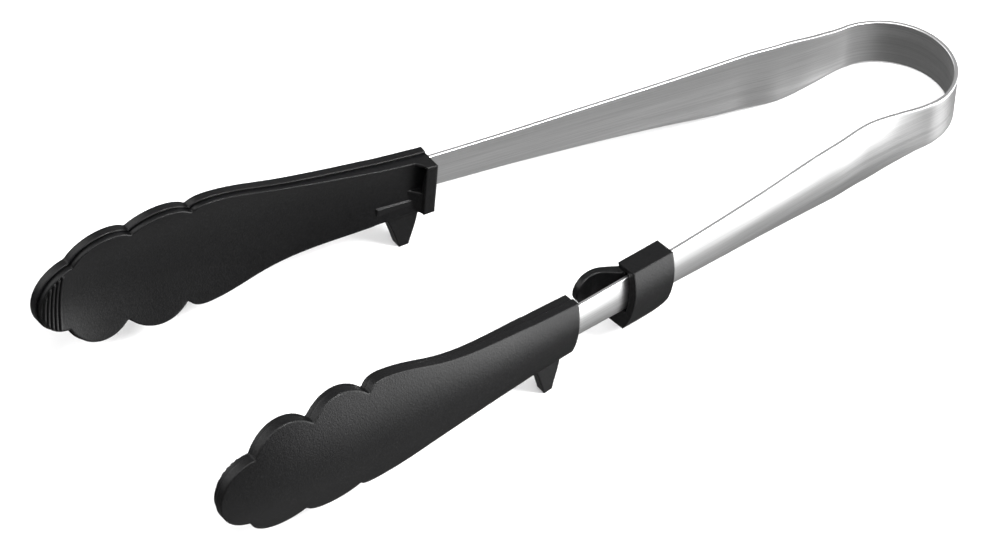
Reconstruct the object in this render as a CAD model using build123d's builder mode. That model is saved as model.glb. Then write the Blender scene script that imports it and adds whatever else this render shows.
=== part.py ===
"""Spring-loaded kitchen tongs: one bent steel strip, two scalloped nylon heads, a sliding lock.

Everything is drawn in the tongs' own frame (X from the head tips to the bend, Y across the arms,
Z across the width of the strip, X = 0 at the rear face of the head collars) and then placed by
rest so that the two feet and the lower edge of the bend stand on Z = 0.
All far-arm shapes are drawn at +Y; the near arm uses the same shapes mirrored.
"""
import os
from math import asin, atan, cos, degrees, radians, sin, tan

from build123d import *

# ---------------------------------------------------------------- steel strip
strip_thickness = 1.1
bend_radius = 18.0            # to the middle of the strip thickness
bend_width = 13.2
bend_start_x = 121.9          # where the arms run into the round bend
flex_angle = 45.0             # how far round the bend each arm is split from the spring
collar_gap_y = 33.5           # strip centre to tongs centre at the collars
collar_strip_width = 10.2
arm_slope = 7.5               # opening angle of the straight front part of each arm
straight_end_x = 36.0
strip_taper = 1.7             # how much wider the strip is where its straight part ends
grip_widest_width = 18.8
tang_length = 27.5
arm_dish = 0.6                # height of the rounded section over its chord, front part
grip_dish = 1.1
flat_dish = 0.02

# ---------------------------------------------------------------- heads
head_length = 111.8           # collar rear face to tip
outer_wall = 2.3              # outer shell, from the strip centre surface outwards
inner_wall = 1.7              # inner shell, the same inwards
collar_extra = 1.2            # how much thicker the near inner shell is at the collar
collar_height = 16.6
head_drop = 0.9               # the heads hang this much below the strip's centre line
collar_radius = 23.5          # roundness of the collar section
head_radius = 45.0            # roundness of the spoon section
tang_clearance = 0.12
inner_inset = 0.6             # the inner shell's outline stays this much inside the outer one
fuse_depth = 0.5              # how far an added boss starts inside the wall that carries it
lobe_1_height = 16.7
lobe_2_height = 18.4
lobe_3_height = 16.9
notch_round = 0.5
ridge_count = 5
ridge_pitch = 1.25
ridge_start = 1.5             # tip to the first ridge
ridge_height = 0.55

# ---------------------------------------------------------------- catch on the far head
catch_inner = 6.6             # strip centre to the catch wall's inner face
catch_bridge = 1.1            # wall left inside the finger's window
catch_length = 8.6            # from the collar's rear face to where the hollow runs out
catch_lip = 2.2
finger_slot_clearance = 0.35

# ---------------------------------------------------------------- feet
foot_drop = 20.0              # strip centre line to the ground end of the foot
foot_tip_x = -6.2
foot_tip_width = 2.6
foot_root_width = 13.0
foot_thickness = 3.0
foot_depth = 2.4              # strip centre to the middle of the foot

# ---------------------------------------------------------------- lock slider
slider_front_x = 17.8
slider_length = 13.5
slider_top = 7.7
slider_bottom = 12.0
slider_wall = 2.2
slide_clearance = 0.35
slider_heel = 7.0             # big rounding at the lower rear corner
finger_reach = 12.9           # nose of the finger in front of the slider
finger_thickness = 2.0
finger_top = 5.9
finger_height = 8.0
finger_offset = 6.2           # strip centre to finger centre

straight_end_width = collar_strip_width + strip_taper
strip_radius = (straight_end_width ** 2 / 4 + arm_dish ** 2) / (2 * arm_dish)
half_strip = strip_thickness / 2
line_slope = tan(radians(arm_slope))
ground_slope = (foot_drop - bend_width / 2) / (bend_start_x + bend_radius + half_strip - foot_tip_x)
rest_pitch = degrees(atan(ground_slope))


def line_y(x):
    """Height over the tongs' centre plane of the straight front part of the arm."""
    return collar_gap_y - line_slope * x


def station(x, y, slope, dish, half_width, outward, inward):
    """Curved section square to the arm: outer and inner arcs joined by short straight sides."""
    a = radians(slope)
    plane = Plane(origin=(x, y, 0), x_dir=(sin(a), cos(a), 0), z_dir=(cos(a), -sin(a), 0))
    with BuildSketch(plane) as section:
        with BuildLine():
            ThreePointArc((outward - dish, -half_width), (outward, 0), (outward - dish, half_width))
            Line((outward - dish, half_width), (-inward - dish, half_width))
            ThreePointArc((-inward - dish, half_width), (-inward, 0), (-inward - dish, -half_width))
            Line((-inward - dish, -half_width), (outward - dish, -half_width))
        make_face()
    return section.sketch


def bow(radius, half_width):
    """Height of an arc of the given radius over its chord."""
    return radius * (1 - cos(asin(half_width / radius)))


def grip_x(share):
    """A place on the curved part of the arm, from 0 where it leaves the straight to 1 at the bend."""
    return straight_end_x + share * (bend_start_x - straight_end_x)


def grip_y(share):
    """Height over the centre plane, from 0 at the bend's radius to 1 at the end of the straight part."""
    return bend_radius + share * (line_y(straight_end_x) - bend_radius)


def mark(share):
    """A place on the head, from 0 at the collar's rear face to 1 at the tip."""
    return -head_length * share


# x, y, slope, dish, width along the arm
arm_path = [
    (-tang_length, line_y(-tang_length), arm_slope, arm_dish, collar_strip_width),
    (-tang_length / 2, line_y(-tang_length / 2), arm_slope, arm_dish, collar_strip_width),
    (0, line_y(0), arm_slope, arm_dish, collar_strip_width),
    (straight_end_x / 3, line_y(straight_end_x / 3), arm_slope, arm_dish, collar_strip_width + strip_taper * 0.18),
    (straight_end_x * 2 / 3, line_y(straight_end_x * 2 / 3), arm_slope, arm_dish,
     collar_strip_width + strip_taper * 0.47),
    (straight_end_x, line_y(straight_end_x), arm_slope, arm_dish, straight_end_width),
    (grip_x(0.326), grip_y(0.646), arm_slope * 1.08, (arm_dish + grip_dish) / 2, grip_widest_width * 0.77),
    (grip_x(0.6275), grip_y(0.311), arm_slope * 0.893, grip_dish, grip_widest_width * 0.96),
    (grip_x(0.767), grip_y(0.1255), arm_slope * 0.667, grip_dish, grip_widest_width),
    (grip_x(0.895), grip_y(0.0325), arm_slope * 0.347, grip_dish / 2, (grip_widest_width + bend_width) / 2),
    (bend_start_x, bend_radius, 0, flat_dish * 4, bend_width + 0.6),
]
for part_angle in (flex_angle / 2, flex_angle):
    arm_path.append((bend_start_x + bend_radius * sin(radians(part_angle)),
                     bend_radius * cos(radians(part_angle)), part_angle, flat_dish, bend_width))

# x, y, slope, section radius of the blank for the spoon-shaped heads
head_path = [
    (0, line_y(0), arm_slope, collar_radius),
    (-tang_length / 2, line_y(-tang_length / 2), arm_slope, collar_radius + 2),
    (-tang_length, line_y(-tang_length), arm_slope, collar_radius + 8),
    (mark(0.41), line_y(mark(0.41)) - 0.3, arm_slope - 1.4, head_radius - 3),
    (mark(0.59), line_y(mark(0.59)) - 1.2, arm_slope - 3.4, head_radius),
    (mark(0.75), line_y(mark(0.75)) - 2.5, arm_slope - 6.4, head_radius),
    (mark(0.895), line_y(mark(0.895)) - 4.8, arm_slope - 11.0, head_radius),
    (-head_length - 2, line_y(-head_length) - 8.0, arm_slope - 16.5, head_radius),
]
blank_half = lobe_2_height + head_drop + 1.5


def head_blank(outward, inward, collar_inward=0):
    """Spoon-shaped slab between two depths from the strip centre surface, thicker towards the collar."""
    shares = [1, 0.85, 0.4] + [0] * (len(head_path) - 3)
    sections = [station(x, y, a, bow(r, blank_half), blank_half, outward, inward + k * collar_inward)
                for (x, y, a, r), k in zip(head_path, shares)]
    return loft(sections)


def strip_blank(path, clearance):
    """The strip itself, or with clearance the room it needs."""
    sections = [station(x, y, a, d, w / 2 + clearance, half_strip + clearance, half_strip + clearance)
                for x, y, a, d, w in path]
    return loft(sections)


def head_outline(inset):
    """Scalloped side view of a head: five lobes round the tip, then a taper to the collar."""
    h = collar_height / 2 - inset
    l1, l2, l3 = lobe_1_height - inset, lobe_2_height - inset, lobe_3_height - inset
    n1 = (mark(0.915) + inset / 2, lobe_1_height * 0.635 - inset)
    n2 = (mark(0.761), lobe_2_height * 0.777 - inset)
    n3 = (mark(0.607), lobe_3_height * 0.882 - inset)
    with BuildSketch(Plane.XZ) as outline:
        with BuildLine():
            ThreePointArc((n1[0], -n1[1]), (-head_length + inset, 0), n1)
            for s in (1, -1):
                ThreePointArc((n1[0], s * n1[1]), (mark(0.852), s * l1), (n2[0], s * n2[1]))
                ThreePointArc((n2[0], s * n2[1]), (mark(0.684), s * l2), (n3[0], s * n3[1]))
                Spline((n3[0], s * n3[1]), (mark(0.54), s * l3),
                       (mark(0.42), s * (lobe_3_height * 0.817 - inset)),
                       (mark(0.295), s * (h + collar_height * 0.175)), (mark(0.143), s * (h + 1.15)), (0, s * h),
                       tangents=((0.45, s), (1, -0.06 * s)))
            Line((0, h), (0, -h))
        make_face()
        fillet([v for v in outline.vertices() if -head_length + 5 < v.X < mark(0.55)], notch_round)
    return Pos(0, 0, -head_drop) * outline.sketch


def head_side(inset):
    """The outline made into a block across the arm."""
    return extrude(head_outline(inset), amount=80, both=True)


def foot_side():
    """Side view of the leg that hangs under the collar, its end cut level with the ground."""
    root_z = 0.4 - collar_height / 2
    front, back = foot_tip_x - foot_root_width * 0.65, foot_tip_x + foot_root_width * 0.35
    toe = foot_tip_width / 2
    with BuildSketch(Plane.XZ) as leg:
        with BuildLine():
            Spline((front, root_z), (foot_tip_x - 4.4, root_z - 4.0),
                   (foot_tip_x - toe, -foot_drop - toe * ground_slope), tangents=((1, -0.2), (0.35, -1)))
            Line((foot_tip_x - toe, -foot_drop - toe * ground_slope),
                 (foot_tip_x + toe, -foot_drop + toe * ground_slope))
            Spline((foot_tip_x + toe, -foot_drop + toe * ground_slope), (foot_tip_x + 3.0, root_z - 4.0),
                   (back, root_z), tangents=((0.15, 1), (1, 0.5)))
            Polyline((back, root_z), (back, root_z + 2.6), (front, root_z + 2.6), (front, root_z))
        make_face()
    return leg.sketch


def block(x0, x1, z0, z1):
    """Everything across the arms between two X and two Z values."""
    return Pos((x0 + x1) / 2, 0, (z0 + z1) / 2) * Box(x1 - x0, 160, z1 - z0)


def inner_shell():
    """Inner half of a head: spoon thickening into the collar, foot, and the ridges at the tip."""
    shell = head_blank(0, inner_wall, collar_extra) & head_side(inner_inset)
    foot_slab = (Pos(foot_tip_x, line_y(foot_tip_x) - foot_depth, 0) * Rot(0, 0, -arm_slope)
                 * Box(60, foot_thickness, 90))
    shell += (extrude(foot_side(), amount=80, both=True) & foot_slab) - (
        head_blank(outer_wall + fuse_depth, fuse_depth) & head_side(0))
    ridge_room = head_blank(-inner_wall + fuse_depth, inner_wall + ridge_height) & head_side(inner_inset + 0.4)
    for i in range(ridge_count):
        x = -head_length + ridge_start + i * ridge_pitch
        shell += ridge_room & block(x, x + ridge_pitch * 0.5, -40, 40)
    return shell


def catch_plan():
    """Plan view of the catch wall at the rear of the far collar, its front hollowed in a quarter round."""
    a = radians(arm_slope)
    deck = Plane(origin=(0, line_y(0), -30), x_dir=(cos(a), -sin(a), 0), z_dir=(0, 0, 1))
    floor = -inner_wall - 0.2
    with BuildSketch(deck) as plan:
        with BuildLine():
            Polyline((2, -fuse_depth), (2, -catch_inner), (-catch_lip, -catch_inner))
            Spline((-catch_lip, -catch_inner), (-catch_lip * 1.7, (floor - catch_inner) / 2),
                   (-catch_length, floor), tangents=((-0.1, 1), (-1, 0.15)))
            Polyline((-catch_length, floor), (-catch_length, -fuse_depth), (2, -fuse_depth))
        make_face()
    return plan.sketch


def arm_plane(x):
    """Plane square to the straight part of the arm, local X outwards, local Y up."""
    a = radians(arm_slope)
    return Plane(origin=(x, line_y(x), 0), x_dir=(sin(a), cos(a), 0), z_dir=(cos(a), -sin(a), 0))


def slider_section(outward, inward, top, bottom, radius):
    """Rounded band between two depths and two heights, used for the slider and its bore."""
    def at(w, z):
        return (w - bow(radius, abs(z)), z)
    with BuildSketch(arm_plane(slider_front_x)) as band:
        with BuildLine():
            ThreePointArc(at(outward, -bottom), (outward, 0), at(outward, top))
            Line(at(outward, top), at(-inward, top))
            ThreePointArc(at(-inward, top), (-inward, 0), at(-inward, -bottom))
            Line(at(-inward, -bottom), at(outward, -bottom))
        make_face()
    return band.sketch


tang_room = strip_blank(arm_path[:6], tang_clearance)
bore_half = straight_end_width / 2 + slide_clearance
bore_depth = half_strip + slide_clearance
slider_outer = bore_depth + slider_wall
slider_inner = bore_depth + slider_wall - 0.45
slot_floor = catch_inner - catch_bridge - finger_thickness - 2 * finger_slot_clearance

# ---------------------------------------------------------------- the pieces, in the tongs' frame
arm_shape = strip_blank(arm_path, 0)
outer_solid = head_blank(outer_wall, 0) & head_side(0)
outer_shape = outer_solid - tang_room
inner_solid = inner_shell()
near_inner_shape = inner_solid - tang_room

catch = extrude(catch_plan(), amount=60) & head_side(inner_inset) & block(-40, 0, -40, 40)
window = block(-catch_length, 1, finger_top - finger_height - finger_slot_clearance,
               finger_top + finger_slot_clearance) & head_blank(-slot_floor, catch_inner - catch_bridge)
far_inner_shape = (inner_solid + (catch - window)) - tang_room

with BuildSketch(Plane.XZ) as slider_profile:
    with Locations((slider_front_x + slider_length / 2, (slider_top - slider_bottom) / 2)):
        Rectangle(slider_length + 1.6, slider_top + slider_bottom)
    heel = slider_profile.vertices().group_by(Axis.Y)[0].sort_by(Axis.X)[-1]
    fillet(heel, slider_heel)
sleeve = extrude(slider_section(slider_outer, slider_inner, slider_top, slider_bottom, collar_radius),
                 amount=slider_length)
sleeve = sleeve & extrude(slider_profile.sketch, amount=80, both=True)
bore = extrude(slider_section(bore_depth, bore_depth, bore_half, bore_half, strip_radius),
               amount=slider_length + 2)
bore = Pos(-1, line_slope, 0) * bore

deck = Plane(origin=(slider_front_x, line_y(slider_front_x), finger_top - finger_height),
             x_dir=(cos(radians(arm_slope)), -sin(radians(arm_slope)), 0), z_dir=(0, 0, 1))
near_face, far_face = -finger_offset + finger_thickness / 2, -finger_offset - finger_thickness / 2
with BuildSketch(deck) as finger_plan:
    with BuildLine():
        Spline((5.5, -slider_inner + 0.5), (1.5, -slider_inner - 1.1), (-4, far_face),
               (-finger_reach, far_face), tangents=((-1, -0.2), (-1, 0.05)))
        Line((-finger_reach, far_face), (-finger_reach, near_face))
        Spline((-finger_reach, near_face), (-4.5, near_face), (-0.6, -slider_inner + 0.6),
               (5.5, -slider_inner + 0.5), tangents=((1, -0.05), (1, 0)))
    make_face()
finger = extrude(finger_plan.sketch, amount=finger_height)
nose = finger_height / 2
with BuildSketch(Plane.XZ) as finger_profile:
    with Locations((slider_front_x + 5, finger_top - nose)):
        Rectangle(finger_reach + 5 - nose + 0.2, finger_height, align=(Align.MAX, Align.CENTER))
        with Locations((-(finger_reach + 5 - nose), 0)):
            Circle(nose)
finger = finger & extrude(finger_profile.sketch, amount=80, both=True)

with BuildSketch(Plane.XY.offset(-bend_width / 2)) as bend_ring:
    with BuildLine():
        c = Vector(bend_start_x, 0)
        r_out, r_in = bend_radius + half_strip, bend_radius - half_strip
        e = Vector(sin(radians(flex_angle)), cos(radians(flex_angle)))
        f = Vector(e.X, -e.Y)
        ThreePointArc(c + r_out * e, c + Vector(r_out, 0), c + r_out * f)
        Line(c + r_out * f, c + r_in * f)
        ThreePointArc(c + r_in * f, c + Vector(r_in, 0), c + r_in * e)
        Line(c + r_in * e, c + r_out * e)
    make_face()


def turned(shape):
    """From the tongs' frame to standing on the feet and the bend."""
    return Rot(0, rest_pitch, 0) * shape


far_side = [arm_shape, outer_shape, far_inner_shape]
near_side = [mirror(s, about=Plane.XZ) for s in (arm_shape, outer_shape, near_inner_shape)]
slider_shape = mirror((sleeve + finger) - bore, about=Plane.XZ)
bend_shape = extrude(bend_ring.sketch, amount=bend_width)
corners = [v for s in (*far_side, *near_side, bend_shape) for v in turned(s).tessellate(0.02)[0]]
middle_x = (min(v.X for v in corners) + max(v.X for v in corners)) / 2
middle_y = (min(v.Y for v in corners) + max(v.Y for v in corners)) / 2
ground_z = min(v.Z for v in corners)
rest = Pos(-middle_x, -middle_y, -ground_z) * Rot(0, rest_pitch, 0)

# ---------------------------------------------------------------- export
os.makedirs("parts", exist_ok=True)

with BuildPart() as spring_bend:
    add(rest * bend_shape)
spring_bend.part.label = "spring_bend"
export_step(spring_bend.part, "parts/spring_bend.step")

with BuildPart() as far_arm_blade:
    add(rest * arm_shape)
far_arm_blade.part.label = "far_arm_blade"
export_step(far_arm_blade.part, "parts/far_arm_blade.step")

with BuildPart() as near_arm_blade:
    add(rest * near_side[0])
near_arm_blade.part.label = "near_arm_blade"
export_step(near_arm_blade.part, "parts/near_arm_blade.step")

with BuildPart() as far_head_outer_shell:
    add(rest * outer_shape)
far_head_outer_shell.part.label = "far_head_outer_shell"
export_step(far_head_outer_shell.part, "parts/far_head_outer_shell.step")

with BuildPart() as far_head_inner_shell:
    add(rest * far_inner_shape)
far_head_inner_shell.part.label = "far_head_inner_shell"
export_step(far_head_inner_shell.part, "parts/far_head_inner_shell.step")

with BuildPart() as near_head_outer_shell:
    add(rest * near_side[1])
near_head_outer_shell.part.label = "near_head_outer_shell"
export_step(near_head_outer_shell.part, "parts/near_head_outer_shell.step")

with BuildPart() as near_head_inner_shell:
    add(rest * near_side[2])
near_head_inner_shell.part.label = "near_head_inner_shell"
export_step(near_head_inner_shell.part, "parts/near_head_inner_shell.step")

with BuildPart() as lock_slider:
    add(rest * slider_shape)
lock_slider.part.label = "lock_slider"
export_step(lock_slider.part, "parts/lock_slider.step")
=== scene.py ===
import math

import bpy
from mathutils import Matrix, Vector


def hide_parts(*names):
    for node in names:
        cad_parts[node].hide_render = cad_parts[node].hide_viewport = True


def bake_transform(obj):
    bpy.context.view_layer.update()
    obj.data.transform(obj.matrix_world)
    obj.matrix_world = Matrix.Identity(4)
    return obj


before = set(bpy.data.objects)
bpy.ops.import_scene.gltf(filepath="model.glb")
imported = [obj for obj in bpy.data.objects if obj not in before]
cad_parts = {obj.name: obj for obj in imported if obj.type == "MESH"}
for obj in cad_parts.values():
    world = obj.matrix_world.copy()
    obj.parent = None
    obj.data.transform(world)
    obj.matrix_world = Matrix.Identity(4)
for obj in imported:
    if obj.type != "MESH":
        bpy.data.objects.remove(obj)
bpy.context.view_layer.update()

# ------------------------------------------------------------------ tongs' own frame
# The strip is drawn in the tongs' frame (millimetres, X from the collars to the bend)
# and turned into the shared frame.
PITCH = math.radians(5.2208479)
MIDDLE_X, GROUND_Z = 14.5028336, -19.3528585
TURN = Matrix.Rotation(PITCH, 4, "Y")


def row(x, y, z):
    """A point in the tongs' frame, in millimetres, as a point in the shared frame, in metres."""
    p = TURN @ Vector((x, y, z))
    return Vector((p.x - MIDDLE_X, p.y, p.z - GROUND_Z)) / 1000


# ------------------------------------------------------------------ steel strip
THICKNESS = 1.1
EDGE_RADIUS = 0.32            # rounding of the long edges
BEND_R, BEND_X = 18.0, 121.9
BEND_START_WIDTH, BEND_NARROWING = 13.8, 0.6
BEND_START_DISH, BEND_DISH = 0.08, 0.02
FLATTEN_ANGLE = 22.5          # the section has its final shape this far round the bend
BEND_STEPS = 72
SLOPE = 7.5
GAP_Y = 33.5
TAN_SLOPE = math.tan(math.radians(SLOPE))


def line_y(x):
    """Distance of the straight part of the arm from the middle plane."""
    return GAP_Y - TAN_SLOPE * x


OUTER_FACE_SHIFT = 0.05       # keeps the two faces of the strip on different parts of the brushing

# x, y, slope, dish, width
KNOTS = [
    (-27.5, line_y(-27.5), SLOPE, 0.6, 10.2),
    (0.0, line_y(0.0), SLOPE, 0.6, 10.2),
    (12.0, line_y(12.0), SLOPE, 0.6, 10.5),
    (24.0, line_y(24.0), SLOPE, 0.6, 11.0),
    (36.0, line_y(36.0), SLOPE, 0.6, 11.9),
    (64.0, 24.95, SLOPE + 0.6, 0.85, 14.5),
    (89.9, 21.35, SLOPE - 0.8, 1.1, 18.05),
    (101.9, 19.35, 5.0, 1.1, 18.8),
    (112.9, 18.35, 2.6, 0.55, 16.0),
    (121.9, 18.0, 0.0, 0.08, 13.8),
]


def hermite(p0, m0, p1, m1, t):
    """Cubic between two values with given slopes."""
    t2, t3 = t * t, t * t * t
    return (2 * t3 - 3 * t2 + 1) * p0 + (t3 - 2 * t2 + t) * m0 + (3 * t2 - 2 * t3) * p1 + (t3 - t2) * m1


def gentle(values, at, xs):
    """Monotone cubic through (xs, values)."""
    d = [(values[i + 1] - values[i]) / (xs[i + 1] - xs[i]) for i in range(len(xs) - 1)]
    m = [0.0] + [0.0 if d[i - 1] * d[i] <= 0 else 2 * d[i - 1] * d[i] / (d[i - 1] + d[i])
                 for i in range(1, len(d))] + [0.0]
    for i in range(len(d)):
        if at <= xs[i + 1] or i == len(d) - 1:
            h = xs[i + 1] - xs[i]
            return hermite(values[i], m[i] * h, values[i + 1], m[i + 1] * h, (at - xs[i]) / h)


def strip_stations():
    """(x, y, slope in radians, dish, width, distance along), tang's end to the middle of the bend."""
    xs = [k[0] for k in KNOTS]
    dishes, widths = [k[3] for k in KNOTS], [k[4] for k in KNOTS]
    out = []
    for i in range(len(KNOTS) - 1):
        a, b = KNOTS[i], KNOTS[i + 1]
        h = b[0] - a[0]
        steps = max(6, int(h / 1.4))
        for j in range(steps):
            t = j / steps
            x = a[0] + h * t
            y = hermite(a[1], -math.tan(math.radians(a[2])) * h,
                        b[1], -math.tan(math.radians(b[2])) * h, t)
            out.append((x, y, gentle(dishes, x, xs), gentle(widths, x, xs)))
    for j in range(BEND_STEPS + 1):
        f = math.radians(90) * j / BEND_STEPS
        share = min(1.0, f / math.radians(FLATTEN_ANGLE))
        share = share * share * (3 - 2 * share)
        out.append((BEND_X + BEND_R * math.sin(f), BEND_R * math.cos(f),
                    BEND_START_DISH * (1 - share) + BEND_DISH * share,
                    BEND_START_WIDTH - BEND_NARROWING * share))
    stations = []
    s = 0.0
    for i, (x, y, dish, width) in enumerate(out):
        lo, hi = out[max(i - 1, 0)], out[min(i + 1, len(out) - 1)]
        slope = math.atan2(-(hi[1] - lo[1]), hi[0] - lo[0])
        if x >= BEND_X:
            slope = math.acos(min(1.0, max(-1.0, y / BEND_R)))
        if i:
            s += math.hypot(x - out[i - 1][0], y - out[i - 1][1])
        stations.append((x, y, slope, dish, width, s))
    return stations


def strip_section(dish, width, n=18, k=4):
    """Closed ring of (outward, up) points round the dished strip, its long edges rounded."""
    h, t, r = width / 2, THICKNESS / 2, EDGE_RADIUS
    pts = []

    def bow(z):
        return dish * (z / h) ** 2
    for i in range(n + 1):
        z = -(h - r) + 2 * (h - r) * i / n
        pts.append((t - bow(z), z))
    for i in range(1, k + 1):
        a = math.pi / 2 * i / k
        pts.append((t - bow(h - r) - r + r * math.cos(a), h - r + r * math.sin(a)))
    for i in range(0, k + 1):
        a = math.pi / 2 + math.pi / 2 * i / k
        pts.append((-t - bow(h - r) + r + r * math.cos(a), h - r + r * math.sin(a)))
    for i in range(1, n + 1):
        z = (h - r) - 2 * (h - r) * i / n
        pts.append((-t - bow(z), z))
    for i in range(1, k + 1):
        a = math.pi + math.pi / 2 * i / k
        pts.append((-t - bow(h - r) + r + r * math.cos(a), -(h - r) + r * math.sin(a)))
    for i in range(0, k):
        a = 3 * math.pi / 2 + math.pi / 2 * i / k
        pts.append((t - bow(h - r) - r + r * math.cos(a), -(h - r) + r * math.sin(a)))
    return pts


def strip_half(name, side):
    """One arm of the strip up to the middle of the bend, with a UV map along and across it in metres."""
    verts, uvs = [], []
    stations = strip_stations()
    for x, y, slope, dish, width, s in stations:
        nx, ny = math.sin(slope), math.cos(slope)
        ring = strip_section(dish, width)
        for w, z in ring:
            verts.append(row(x + nx * w, side * (y + ny * w), z))
            uvs.append((s / 1000, z / 1000 + (OUTER_FACE_SHIFT if w > 0 else 0.0)))
    m = len(strip_section(1, 10))
    faces = []
    for i in range(len(stations) - 1):
        for j in range(m):
            a, b = i * m + j, i * m + (j + 1) % m
            quad = (a, b, b + m, a + m)
            faces.append(quad if side < 0 else quad[::-1])
    cap = tuple(range(m))
    faces.append(cap[::-1] if side < 0 else cap)
    mesh = bpy.data.meshes.new(name)
    mesh.from_pydata(verts, [], faces)
    mesh.update()
    layer = mesh.uv_layers.new(name="strip")
    for loop in mesh.loops:
        layer.data[loop.index].uv = uvs[loop.vertex_index]
    obj = bpy.data.objects.new(name, mesh)
    bpy.context.scene.collection.objects.link(obj)
    for p in mesh.polygons:
        p.use_smooth = True
    return obj


far_strip = strip_half("far_strip", 1)
near_strip = strip_half("near_strip", -1)


# ------------------------------------------------------------------ materials
def nodes_of(name):
    mat = bpy.data.materials.new(name)
    mat.use_nodes = True
    tree = mat.node_tree
    shader = next(n for n in tree.nodes if n.type == "BSDF_PRINCIPLED")
    return mat, tree, shader


def add(tree, kind, **inputs):
    node = tree.nodes.new(kind)
    for key, value in inputs.items():
        node.inputs[key].default_value = value
    return node


def remap(tree, source, low, high, to_low, to_high, smooth=False):
    """A value carried from one range to another."""
    node = add(tree, "ShaderNodeMapRange")
    if smooth:
        node.interpolation_type = "SMOOTHSTEP"
    node.inputs["From Min"].default_value, node.inputs["From Max"].default_value = low, high
    node.inputs["To Min"].default_value, node.inputs["To Max"].default_value = to_low, to_high
    tree.links.new(source, node.inputs["Value"])
    return node


def steel_material():
    """Satin brushed stainless: fine lines along the strip, slight patchiness."""
    mat, tree, shader = nodes_of("brushed_stainless")
    link = tree.links.new
    coord = add(tree, "ShaderNodeTexCoord")
    lines = add(tree, "ShaderNodeMapping", Scale=(30.0, 2600.0, 1.0))
    link(coord.outputs["UV"], lines.inputs["Vector"])
    streak = add(tree, "ShaderNodeTexNoise", Scale=1.0, Detail=5.0, Roughness=0.65)
    link(lines.outputs["Vector"], streak.inputs["Vector"])
    broad = add(tree, "ShaderNodeMapping", Scale=(14.0, 420.0, 1.0))
    link(coord.outputs["UV"], broad.inputs["Vector"])
    patch = add(tree, "ShaderNodeTexNoise", Scale=1.0, Detail=3.0)
    link(broad.outputs["Vector"], patch.inputs["Vector"])
    tone = remap(tree, streak.outputs["Fac"], 0.3, 0.7, 0.58, 0.76)
    colour = add(tree, "ShaderNodeCombineColor")
    for key in ("Red", "Green", "Blue"):
        link(tone.outputs["Result"], colour.inputs[key])
    link(colour.outputs["Color"], shader.inputs["Base Color"])
    rough = remap(tree, patch.outputs["Fac"], 0.25, 0.75, 0.3, 0.42)
    link(rough.outputs["Result"], shader.inputs["Roughness"])
    bump = add(tree, "ShaderNodeBump", Strength=0.12, Distance=0.00005)
    link(streak.outputs["Fac"], bump.inputs["Height"])
    link(bump.outputs["Normal"], shader.inputs["Normal"])
    shader.inputs["Metallic"].default_value = 1.0
    return mat


def nylon_material():
    """Black glass-filled nylon: satin, with a fine spark-eroded grain and soft moulded edges."""
    mat, tree, shader = nodes_of("black_nylon")
    link = tree.links.new
    coord = add(tree, "ShaderNodeTexCoord")
    fine = add(tree, "ShaderNodeTexNoise", Scale=2200.0, Detail=3.0, Roughness=0.6)
    wide = add(tree, "ShaderNodeTexNoise", Scale=90.0, Detail=4.0)
    link(coord.outputs["Object"], fine.inputs["Vector"])
    link(coord.outputs["Object"], wide.inputs["Vector"])
    tone = add(tree, "ShaderNodeValToRGB")
    stops = ((0.35, (0.0015, 0.0015, 0.0017, 1)), (0.75, (0.006, 0.006, 0.0063, 1)))
    for element, (position, colour) in zip(tone.color_ramp.elements, stops):
        element.position, element.color = position, colour
    link(fine.outputs["Fac"], tone.inputs["Fac"])
    link(tone.outputs["Color"], shader.inputs["Base Color"])
    rough = remap(tree, wide.outputs["Fac"], 0.0, 1.0, 0.26, 0.38)
    link(rough.outputs["Result"], shader.inputs["Roughness"])
    bevel = add(tree, "ShaderNodeBevel", Radius=0.0007)
    bevel.samples = 6
    bump = add(tree, "ShaderNodeBump", Strength=0.6, Distance=0.00008)
    link(bevel.outputs["Normal"], bump.inputs["Normal"])
    link(fine.outputs["Fac"], bump.inputs["Height"])
    link(bump.outputs["Normal"], shader.inputs["Normal"])
    shader.inputs["IOR"].default_value = 1.45
    shader.inputs["Specular IOR Level"].default_value = 0.3
    return mat


steel = steel_material()
nylon = nylon_material()

for strip, arm, side in ((far_strip, "far_arm", 1), (near_strip, "near_arm", -1)):
    strip.data.materials.append(steel)
    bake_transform(strip)
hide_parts("far_arm_blade", "spring_bend")
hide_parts("near_arm_blade")

for node in ("far_head_outer_shell", "far_head_inner_shell", "near_head_outer_shell",
             "near_head_inner_shell", "lock_slider"):
    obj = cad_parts[node]
    obj.data.materials.clear()
    obj.data.materials.append(nylon)

# ------------------------------------------------------------------ floor, light, camera
scene = bpy.context.scene


bpy.ops.mesh.primitive_plane_add(size=16, location=(0, 0, 0))
floor = bpy.context.object
floor.name = "floor"
floor_white, _, floor_shader = nodes_of("floor_white")
floor_shader.inputs["Base Color"].default_value = (0.92, 0.92, 0.92, 1)
floor_shader.inputs["Roughness"].default_value = 0.8
floor.data.materials.append(floor_white)
floor.visible_glossy = False

LIGHT_TARGET = Vector((0, 0, 0.01))


def area(name, azimuth, elevation, distance, size, power):
    """Softbox seen from the object at an azimuth (0 = from -Y, positive towards +X) and elevation."""
    a, e = math.radians(azimuth), math.radians(elevation)
    way = Vector((math.sin(a) * math.cos(e), -math.cos(a) * math.cos(e), math.sin(e)))
    data = bpy.data.lights.new(name, "AREA")
    data.energy = power
    data.size = size
    light = bpy.data.objects.new(name, data)
    light.location = LIGHT_TARGET + way * distance
    light.rotation_euler = way.to_track_quat("Z", "Y").to_euler()
    scene.collection.objects.link(light)


area("top", -34, 68, 1.6, 1.8, 32)
area("back", -150, 25, 1.6, 1.4, 12)
area("edge", 38, 45, 1.5, 0.5, 34)


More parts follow.
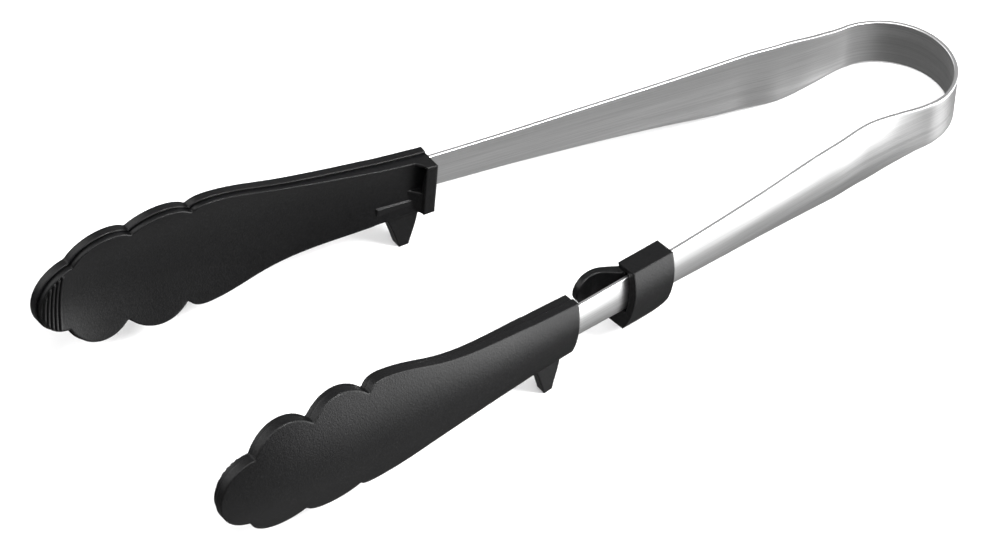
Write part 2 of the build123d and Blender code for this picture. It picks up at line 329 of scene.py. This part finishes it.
ROOM_LOW, ROOM_HIGH = 0.12, 0.4             # below and above the horizon
HORIZON = 0.35                              # half height of the change between them
SOFTBOX_WAY, SOFTBOX_EDGE, SOFTBOX_STRENGTH = (0.875, -0.465, -0.13), 0.79, 8.5
CARD_WAY, CARD_EDGE, CARD_STRENGTH = (0.26, -0.6, -0.76), 0.75, 0.3


def studio_world():
    """Dim room below, paler above the horizon, a broad softbox low on the right, a weak card in front."""
    world = bpy.data.worlds.new("studio")
    world.use_nodes = True
    tree = world.node_tree
    link = tree.links.new
    sky = tree.nodes["Background"]
    coord = add(tree, "ShaderNodeTexCoord")
    height = add(tree, "ShaderNodeSeparateXYZ")
    link(coord.outputs["Generated"], height.inputs["Vector"])

    def glow(way, edge, strength):
        """Soft round patch of light in one direction."""
        toward = add(tree, "ShaderNodeVectorMath")
        toward.operation = "DOT_PRODUCT"
        toward.inputs[1].default_value = way
        link(coord.outputs["Generated"], toward.inputs[0])
        return remap(tree, toward.outputs["Value"], edge, 1.0, 0.0, strength, smooth=True)

    def summed(first, second):
        node = add(tree, "ShaderNodeMath")
        link(first, node.inputs[0])
        link(second, node.inputs[1])
        return node.outputs["Value"]

    dome = remap(tree, height.outputs["Z"], -HORIZON, HORIZON, ROOM_LOW, ROOM_HIGH, smooth=True)
    softbox = glow(SOFTBOX_WAY, SOFTBOX_EDGE, SOFTBOX_STRENGTH)
    card = glow(CARD_WAY, CARD_EDGE, CARD_STRENGTH)
    pair = summed(softbox.outputs["Result"], card.outputs["Result"])
    link(summed(dome.outputs["Result"], pair), sky.inputs["Strength"])
    sky.inputs["Color"].default_value = (1, 1, 1, 1)
    return world


scene.world = studio_world()

CAM_AZIMUTH, CAM_ELEVATION, CAM_ROLL = math.radians(-34.308), math.radians(44.646), math.radians(-0.786)
CAM_DISTANCE = 2.27971
back = Vector((math.sin(CAM_AZIMUTH) * math.cos(CAM_ELEVATION),
               -math.cos(CAM_AZIMUTH) * math.cos(CAM_ELEVATION), math.sin(CAM_ELEVATION)))
right = Vector((math.cos(CAM_AZIMUTH), math.sin(CAM_AZIMUTH), 0))
up = back.cross(right)
right, up = (right * math.cos(CAM_ROLL) + up * math.sin(CAM_ROLL),
             up * math.cos(CAM_ROLL) - right * math.sin(CAM_ROLL))
camera = bpy.data.objects.new("camera", bpy.data.cameras.new("camera"))
camera.data.lens, camera.data.sensor_width = 323.9, 36.0
camera.data.clip_end = 20
camera.matrix_world = Matrix((
    (right.x, up.x, back.x, 0), (right.y, up.y, back.y, 0), (right.z, up.z, back.z, 0), (0, 0, 0, 1)))
camera.location = Vector((-0.009045, 0.006907, 0.000615)) + back * CAM_DISTANCE
scene.collection.objects.link(camera)
scene.camera = camera
scene.view_settings.view_transform = "Standard"
